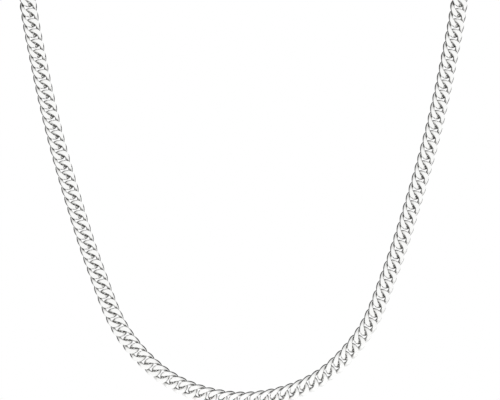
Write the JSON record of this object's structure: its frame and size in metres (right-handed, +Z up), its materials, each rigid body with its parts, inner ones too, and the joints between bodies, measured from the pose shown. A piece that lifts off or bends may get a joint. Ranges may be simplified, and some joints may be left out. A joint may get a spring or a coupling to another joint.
{
  "type": "cuban link neck chain",
  "caption": "Closed neck chain of interlocked curb links with ground faces, in the form it has when worn, with a plain clasp at the nape.",
  "frame": {"origin": "middle of the clasp, at the nape, where the chain hangs on the neck", "axes": "+Z up, +Y towards the wearer's back, so the front of the loop with its lowest point looks along -Y, and +X to the right as seen from the front"},
  "size_m": [0.135, 0.1001, 0.1421],
  "materials": {
    "polished_silver": "polished sterling silver"
  },
  "bodies": {
    "root": {"chain_left": "polished_silver", "chain_right": "polished_silver", "end_ring": "polished_silver", "clasp": "polished_silver", "jump_ring": "polished_silver"}
  },
  "joints": []
}
